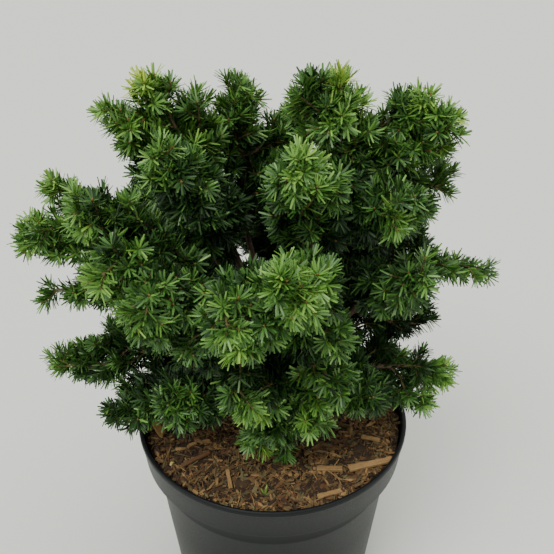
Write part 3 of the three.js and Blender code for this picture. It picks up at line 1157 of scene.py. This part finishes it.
    def _measure(self) -> None:
        """Works out each node's girth and how far it stands from the tips it carries."""
        n = self.count
        self.heir = self._heirs()
        self.tail = np.zeros(n)
        load = np.zeros(n)
        for i in range(n - 1, self.wooden - 1, -1):
            load[i] = max(load[i], 1.0)
            p = self.parent[i]
            step = float(np.linalg.norm(self.pos[i] - self.pos[p]))
            self.tail[p] = max(self.tail[p], self.tail[i] + step)
            load[p] += load[i] if self.kids[p] > 1 or p < self.wooden else load[i] + 0.06
        self.girth = np.clip(0.52 * MM * np.maximum(load, 1) ** 0.36, 0.5 * MM, 2.0 * MM)

    def chains(self) -> list[np.ndarray]:
        """The shoots: runs of nodes, each from its parent's node to its tip."""
        runs = []
        for i in range(self.wooden, self.count):
            p = self.parent[i]
            if p >= self.wooden and self.heir[p] == i:
                continue
            run = [p, i]
            while self.heir[run[-1]] >= 0:
                run.append(self.heir[run[-1]])
            runs.append(np.array(run))
        return runs


@dataclass
class Shoot:
    """One smooth shoot, sampled at a fine even spacing."""

    points: np.ndarray
    ways: np.ndarray
    girth: np.ndarray
    tail: np.ndarray
    outer: np.ndarray
    head: int

    @property
    def length(self) -> float:
        """Length of the shoot in metres."""
        return float(np.linalg.norm(np.diff(self.points, axis=0), axis=1).sum())


@dataclass
class Shoots:
    """Turns the skeleton's runs into smooth shoots with short leading tips."""

    growth: Growth
    spacing: float = 1.0 * MM
    lead: float = 3.0 * MM
    seed: int = 21

    def build(self) -> list[Shoot]:
        """All shoots of the crown."""
        rng = np.random.default_rng(self.seed)
        return [self._shoot(run, rng) for run in self.growth.chains()]

    def _shoot(self, run: np.ndarray, rng: np.random.Generator) -> Shoot:
        """One run of nodes, led on past its last node and resampled."""
        g = self.growth
        nodes = g.pos[run]
        way = unit(nodes[-1] - nodes[-2])
        ahead = unit(way + UP * 0.10 + rng.normal(0, 0.08, 3))
        nodes = np.vstack([nodes, nodes[-1] + ahead * self.lead * rng.uniform(0.6, 1.3)])
        girth = np.append(g.girth[run], g.girth[run[-1]] * 0.8)
        girth[0] = girth[1]
        tail = np.append(g.tail[run], 0.0) + self.lead
        tail[-1] = 0
        tail[0] = tail[1] + np.linalg.norm(nodes[1] - nodes[0])
        outer = np.append(g.out[run], g.out[run[-1]])
        outer[0] = outer[1]
        steps = np.linalg.norm(np.diff(nodes, axis=0), axis=1)
        at = np.concatenate([[0], np.cumsum(steps)])
        fine = np.linspace(0, at[-1], max(4, int(at[-1] / self.spacing)))
        points = smooth_line(nodes, at, fine)
        ways = unit(np.gradient(points, axis=0))
        values = [np.interp(fine, at, v) for v in (girth, tail, outer)]
        return Shoot(points, ways, *values, int(g.head[run[-1]]))


def smooth_line(nodes: np.ndarray, at: np.ndarray, fine: np.ndarray) -> np.ndarray:
    """Points of a cubic through nodes.

    Args:
        nodes: the nodes passed through.
        at: how far along each node lies.
        fine: the distances asked for.

    Returns:
        One point for each distance.
    """
    if len(nodes) > 2:
        slope = np.gradient(nodes, at, axis=0)
    else:
        slope = np.tile((nodes[1] - nodes[0]) / at[1], (2, 1))
    k = np.clip(np.searchsorted(at, fine, side="right") - 1, 0, len(nodes) - 2)
    h = (at[k + 1] - at[k])[:, None]
    a, b, c, d = hermite((fine[:, None] - at[k][:, None]) / h)
    return a * nodes[k] + b * h * slope[k] + c * nodes[k + 1] + d * h * slope[k + 1]


# ---------------------------------------------------------------- twigs, buds and needles


@dataclass
class Twigs:
    """Round tapering wood of the shoots, young and old apart."""

    shoots: list[Shoot]
    sides: int = 4
    every: int = 4
    young_tail: float = 26 * MM

    def build(self) -> None:
        """Joins the twigs into one piece of old wood and one of young wood."""
        old, young = [], []
        for shoot in self.shoots:
            last = len(shoot.points) - 1
            picks = np.unique(np.append(np.arange(0, last, self.every), last))
            turn = int(np.searchsorted(-shoot.tail[picks], -self.young_tail))
            if turn > 1:
                old.append(self._tube(shoot, picks[: turn + 1]))
            start = max(0, turn - 1) if turn > 1 else 0
            if len(picks) - start > 1:
                young.append(self._tube(shoot, picks[start:]))
        for age, tubes, finish in (("old", old, TWIG_FINISH), ("young", young, YOUNG_TWIG_FINISH)):
            piece = mesh_piece(f"twigs_{age}", *stitch(tubes))
            hand_over(piece, "bark", LIMB_NODES + FOLIAGE_NODES, finish)

    def _tube(self, shoot: Shoot, picks: np.ndarray) -> Arrays:
        """Points and quads of one stretch of twig."""
        points, ways = shoot.points[picks], shoot.ways[picks]
        radius = shoot.girth[picks]
        across, over = square(ways)
        rings = []
        for j in range(self.sides):
            angle = 2 * math.pi * j / self.sides
            rings.append(points + around(across, over, angle) * radius[:, None])
        return np.stack(rings, 1).reshape(-1, 3), ring_quads(len(picks), self.sides)


def square(ways: np.ndarray) -> Arrays:
    """Two directions at right angles to each way and to each other."""
    level = np.abs(ways[:, 2:3]) < 0.9
    helper = np.where(level, UP, np.array([1.0, 0, 0]))
    across = unit(np.cross(helper, ways))
    return across, np.cross(ways, across)


def stitch(parts: list[Arrays]) -> Arrays:
    """Joins many small meshes into one.

    Args:
        parts: points and faces of each, all with faces of as many corners.

    Returns:
        The points and the faces of them all.
    """
    offset, points, faces = 0, [], []
    for these_points, these_faces in parts:
        points.append(these_points)
        faces.append(these_faces + offset)
        offset += len(these_points)
    return np.concatenate(points), np.concatenate(faces)


@dataclass
class Buds:
    """Small ovoid buds at the shoot tips."""

    shoots: list[Shoot]
    sides: int = 4
    seed: int = 31
    least_outer: float = 0.6
    budless: float = 0.45
    clustered: float = 0.25
    splay: float = 0.9
    length: Pair = (1.5, 2.3)
    rings: tuple[Pair, ...] = ((0.0, 0.20), (0.35, 0.38), (0.75, 0.26), (1.0, 0.05))

    def build(self) -> None:
        """Models all the buds as one piece."""
        rng = np.random.default_rng(self.seed)
        parts = []
        for shoot in self.shoots:
            if shoot.outer[-1] < self.least_outer or rng.random() < self.budless:
                continue
            across, over = square(shoot.ways[-1:])
            for k in range(3 if rng.random() < self.clustered else 1):
                lean = around(across[0], over[0], rng.random() * 2 * math.pi) * (self.splay if k else 0.0)
                way = unit(shoot.ways[-1] + lean)
                foot = shoot.points[-1] - shoot.ways[-1] * 0.6 * MM
                parts.append(self._bud(foot, way, rng.uniform(*self.length) * MM * (0.75 if k else 1)))
        piece = mesh_piece("buds", *stitch(parts))
        hand_over(piece, "bark", FOLIAGE_NODES, BUD_FINISH)

    def _bud(self, foot: np.ndarray, way: np.ndarray, length: float) -> Arrays:
        """One bud: two rings between two small ends."""
        across, over = square(way[None])
        points = []
        for t, wide in self.rings:
            for j in range(self.sides):
                arm = around(across[0], over[0], 2 * math.pi * j / self.sides)
                points.append(foot + way * length * t + arm * length * wide)
        return np.array(points), ring_quads(len(self.rings), self.sides)


@dataclass
class Needles:
    """Blunt flat needles set round every shoot, coloured spray by spray.

    Each row of new_growth is a place and a reach in millimetres, and how much fresher the needles are there.
    """

    shoots: list[Shoot]
    per_mm: float = 2.35
    head: int = 12
    length: float = 8.9 * MM
    width: float = 1.35 * MM
    seed: int = 41
    bare_tail: float = 95 * MM
    limit: int = 36000
    new_growth: tuple[tuple[float, float, float, float, float], ...] = (
        (-81, 15, 388, 12, 3.8), (-33, 0, 359, 9, 1.4), (41, 8, 387, 9, 1.4), (103, -2, 367, 9, 1.2),
        (-4, -85, 208, 12, 2.1), (16, -85, 212, 12, 2.2),
    )
    mood_spread: float = 0.42
    moods: np.ndarray = field(init=False)

    def build(self) -> None:
        """Sets out every needle and joins them into pieces by colour."""
        rng = np.random.default_rng(self.seed)
        self.moods = rng.normal(0, self.mood_spread, 1 + max(shoot.head for shoot in self.shoots))
        rows = [self._row(shoot, rng) for shoot in self.shoots]
        rows = [row for row in rows if len(row["foot"])]
        every = {key: np.concatenate([row[key] for row in rows]) for key in rows[0]}
        LOG.info("needles: %d on %d shoots", len(every["foot"]), len(rows))
        points = self._blades(every, rng)
        for index, tint in enumerate(Tint):
            chosen = np.flatnonzero(every["tint"] == index)
            parts = math.ceil(len(chosen) / self.limit)
            for part in range(parts):
                self._piece(tint, part, points[chosen[part::parts]])

    def _row(self, shoot: Shoot, rng: np.random.Generator) -> dict[str, np.ndarray]:
        """The needles of one shoot: their feet, directions, sizes and tints."""
        total = shoot.length
        count = int(total / MM * self.per_mm) + self.head
        even = np.linspace(0.5 * MM, total, count - self.head)
        at = np.concatenate([even, total - rng.uniform(0, 6 * MM, self.head)])
        at = np.sort(np.clip(at + rng.normal(0, 0.3 * MM, count), 0, total))
        fine = np.linspace(0, total, len(shoot.points))
        foot = np.stack([np.interp(at, fine, shoot.points[:, i]) for i in range(3)], 1)
        way = unit(np.stack([np.interp(at, fine, shoot.ways[:, i]) for i in range(3)], 1))
        tail = np.interp(at, fine, shoot.tail)
        girth = np.interp(at, fine, shoot.girth)
        outer = float(shoot.outer[-1])
        keep = np.clip(1.3 - tail / self.bare_tail, 0.0, 1.0) * np.clip(0.45 + 1.2 * outer, 0, 1)
        kept = rng.random(count) < keep
        foot, way, girth, at = foot[kept], way[kept], girth[kept], at[kept]
        n = len(foot)
        angle = np.arange(n) * GOLDEN + rng.normal(0, 0.25, n) + rng.random() * 6
        across, over = square(way)
        arm = across * np.cos(angle)[:, None] + over * np.sin(angle)[:, None]
        to_tip = total - at
        lean = np.radians(np.interp(to_tip / MM, [0, 3, 9, 20], [46, 54, 64, 70]))
        lean = lean + rng.normal(0, math.radians(9), n)
        direction = way * np.cos(lean)[:, None] + arm * np.sin(lean)[:, None]
        level = 1 - np.abs(way[:, 2])
        above = arm[:, 2] * level
        sag = UP * (-0.10 * (above < 0) * level)[:, None]
        sweep = way * (0.15 * np.clip(above, 0, 1))[:, None]
        direction = unit(direction + sag + sweep)
        size = self.length * rng.uniform(0.84, 1.1, n)
        size = size * np.interp(to_tip / MM, [0, 3], [0.9, 1.0])
        size = size * np.interp(at / MM, [0, 5], [0.75, 1.0]) * (1 - 0.15 * np.clip(above, 0, 1))
        facing = way + 0.7 * UP + rng.normal(0, 0.18, (n, 3))
        tint = self._tone(shoot, to_tip, rng)
        foot = foot + direction * girth[:, None] * 0.4
        return {"foot": foot, "way": direction, "size": size, "facing": facing, "tint": tint}

    def _tone(self, shoot: Shoot, to_tip: np.ndarray, rng: np.random.Generator) -> np.ndarray:
        """Which tint each needle of a shoot has: painted shade deeper in the crown, painted light higher up,
        lighter young tips and random tone.
        """
        outer = float(shoot.outer[-1])
        high = float(np.clip((shoot.points[-1][2] - 0.15) / 0.22, 0, 1))
        # Painted shade and light: darker towards the crown's heart, lighter higher up, plus each head's
        # random tone.
        shade_and_tone = 0.1 + 4.0 * max(0.0, outer - 0.5) + 0.45 * high + self.moods[shoot.head]
        young = np.interp(to_tip / MM, [0, 8, 22, 40], [1.0, 0.45, -0.2, -0.8])
        new = np.array(self.new_growth)
        gap = np.linalg.norm(shoot.points[-1] / MM - new[:, :3], axis=1)
        flush = float((new[:, 4] * np.clip(1.6 - gap / new[:, 3], 0, 1)).max())
        young = young + flush * np.interp(to_tip / MM, [0, 10, 20], [1.0, 0.9, 0.0])
        score = shade_and_tone + young + rng.normal(0, 0.5, len(to_tip))
        return np.clip(np.floor(score), 0, len(Tint) - 1).astype(int)

    def _blades(self, every: dict[str, np.ndarray], rng: np.random.Generator) -> np.ndarray:
        """Corner places of all needles, n by 6 by 3: five round the outline and one on the ridge."""
        way, size = every["way"], every["size"][:, None]
        face = unit(every["facing"] - way * np.einsum("ij,ij->i", every["facing"], way)[:, None])
        side = np.cross(way, face)
        wide = self.width * rng.uniform(0.85, 1.15, (len(way), 1)) / 2
        bow = rng.uniform(0.02, 0.12, (len(way), 1)) * size
        corners = []
        for t, spread, ridge in (
            (0.0, 0.0, 0.0), (0.3, 1.0, 0.0), (1.0, 0.6, 0.0), (1.0, -0.6, 0.0),
            (0.3, -1.0, 0.0), (0.5, 0.0, 0.6),
        ):
            middle = every["foot"] + way * size * t + face * (bow * t * t + wide * ridge)
            corners.append(middle + side * wide * spread)
        return np.stack(corners, 1)

    def _piece(self, tint: Tint, part: int, points: np.ndarray) -> None:
        """One joined piece of needles of one tint."""
        blade = np.array([(k, (k + 1) % 5, 5) for k in range(5)])
        faces = repeated(blade, *points.shape[:2])
        piece = mesh_piece(f"needles_{tint.name.lower()}_{part + 1}", points.reshape(-1, 3), faces)
        hand_over(piece, "needles", FOLIAGE_NODES, tint.value)


# ---------------------------------------------------------------- studio


@dataclass
class Studio:
    """Pale floor, pale sky, soft lamps and the camera."""

    floor_colour: Rgb = (214, 216, 208)
    sky: Rgb = (236, 238, 234)
    sky_strength: float = 1.0
    eye: tuple[float, float, float] = (0.0, -0.397, 0.496)
    aim: tuple[float, float, float] = (59.3, 0.0, -0.45)
    field_of_view: float = 42.0
    sensor: float = 36.0
    floor_size: float = 6.0

    def build(self) -> None:
        """Sets the floor, the world, the lamps and the camera."""
        deselect()
        bpy.ops.mesh.primitive_plane_add(size=self.floor_size, location=(0, 0, 0))
        floor = bpy.context.object
        floor.name = "floor"
        pale = Finish("floor_pale", self.floor_colour, self.floor_colour, roughness=0.75)
        floor.data.materials.append(pale.material())
        world = bpy.data.worlds.new("sky")
        world.use_nodes = True
        background = world.node_tree.nodes["Background"]
        background.inputs["Color"].default_value = linear(self.sky)
        background.inputs["Strength"].default_value = self.sky_strength
        bpy.context.scene.world = world
        self._sun("key", (-22, -30), 35, 2.2)
        self._sun("top", (12, 10), 60, 1.1)
        self._camera()

    def _sun(self, name: str, lean: Pair, softness: float, strength: float) -> None:
        """One even, soft light from above.

        Args:
            name: the lamp's name.
            lean: how far the light comes from +X and from +Y, in degrees off the zenith.
            softness: angle across the light, in degrees.
            strength: its power.
        """
        data = bpy.data.lights.new(name, "SUN")
        data.angle = math.radians(softness)
        data.energy = strength
        lamp = bpy.data.objects.new(name, data)
        from_x, from_y = (math.tan(math.radians(a)) for a in lean)
        lamp.rotation_euler = Vector((from_x, from_y, 1)).to_track_quat("Z", "Y").to_euler()
        bpy.context.scene.collection.objects.link(lamp)

    def _camera(self) -> None:
        """The camera of the main view."""
        data = bpy.data.cameras.new("camera")
        data.sensor_width = self.sensor
        data.lens = self.sensor / 2 / math.tan(math.radians(self.field_of_view) / 2)
        camera = bpy.data.objects.new("camera", data)
        camera.location = self.eye
        camera.rotation_euler = [math.radians(a) for a in self.aim]
        bpy.context.scene.collection.objects.link(camera)
        bpy.context.scene.camera = camera


def main() -> None:
    """Builds every sub-assembly in order."""
    logging.basicConfig(level=logging.INFO, format="%(message)s")
    Pot().build()
    bed = MulchBed()
    bed.build()
    Litter(bed).build()
    Finds(bed).build()
    limbs = [Limb(name).trace() for name in LIMB_NODES]
    Bark(limbs).build()
    volume = CrownVolume().fill()
    LOG.info("crown: %d places", len(volume.places))
    growth = Growth(limbs, volume).grow()
    LOG.info("growth: %d nodes, %d of wood", growth.count, growth.wooden)
    shoots = Shoots(growth).build()
    Twigs(shoots).build()
    Buds(shoots).build()
    Needles(shoots).build()
    Studio().build()


if __name__ == "__main__":
    main()
